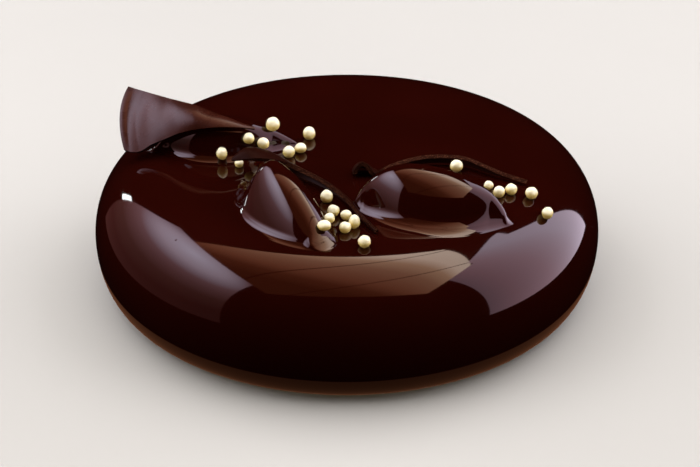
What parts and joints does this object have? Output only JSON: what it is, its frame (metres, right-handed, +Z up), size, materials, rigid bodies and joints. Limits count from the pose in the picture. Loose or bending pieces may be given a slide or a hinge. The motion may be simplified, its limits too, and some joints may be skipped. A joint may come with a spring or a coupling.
{
  "type": "chocolate mousse cake",
  "caption": "Round mirror-glazed chocolate mousse cake topped with glazed quenelles, cupped chocolate petals and scattered small pearls.",
  "frame": {"origin": "centre of the cake's base, on the surface that it stands on", "axes": "+Z up, -Y to the front of the picture, +X to its right"},
  "size_m": [0.182, 0.182, 0.0644],
  "materials": {
    "glaze": "mirror-like dark chocolate glaze",
    "chocolate": "satin tempered dark chocolate",
    "pearls": "pearly ivory coating"
  },
  "bodies": {
    "root": {"cake": "glaze", "quenelle_left": "glaze", "quenelle_front": "glaze", "quenelle_right": "glaze", "petal_left": "chocolate", "petal_front": "chocolate", "petal_right": "chocolate"}
  },
  "joints": []
}
